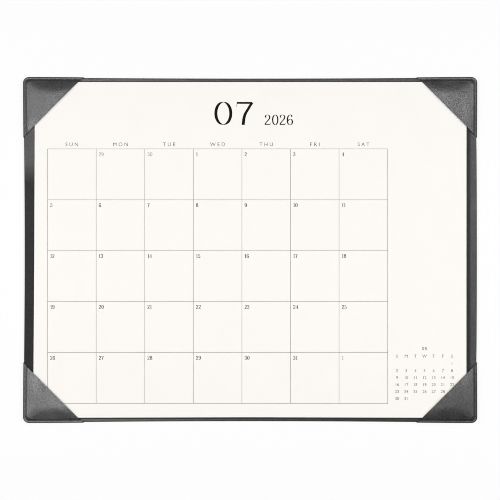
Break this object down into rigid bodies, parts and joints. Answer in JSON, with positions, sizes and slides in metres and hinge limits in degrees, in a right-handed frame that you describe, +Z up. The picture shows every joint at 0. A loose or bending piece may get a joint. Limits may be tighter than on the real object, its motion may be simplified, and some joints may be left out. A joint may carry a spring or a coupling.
{
  "type": "desk pad calendar",
  "caption": "Flat desk pad calendar: a leatherette-covered board with corner pockets holding a glue-topped pad of large ruled monthly leaves.",
  "frame": {"origin": "centre of the underside, where the part rests on the desk", "axes": "+Z up out of the page, +X to the right of the printed page, +Y towards the top of the printed page"},
  "size_m": [0.585, 0.4456, 0.0089],
  "materials": {
    "leatherette": "satin",
    "greyboard": "matte",
    "felt": "matte",
    "backing_card": "matte",
    "leaf_paper": "matte",
    "pad_glue": "matte",
    "printed_ink": "matte"
  },
  "bodies": {
    "root": {"base_board": "greyboard", "base_cover": "leatherette", "base_felt": "felt", "pad_backing": "backing_card", "calendar_leaves": "leaf_paper", "pad_glue_edge": "pad_glue", "month_grid": "printed_ink", "corner_pocket_top_right": "leatherette", "corner_pocket_top_left": "leatherette", "corner_pocket_bottom_left": "leatherette", "corner_pocket_bottom_right": "leatherette"}
  },
  "joints": []
}
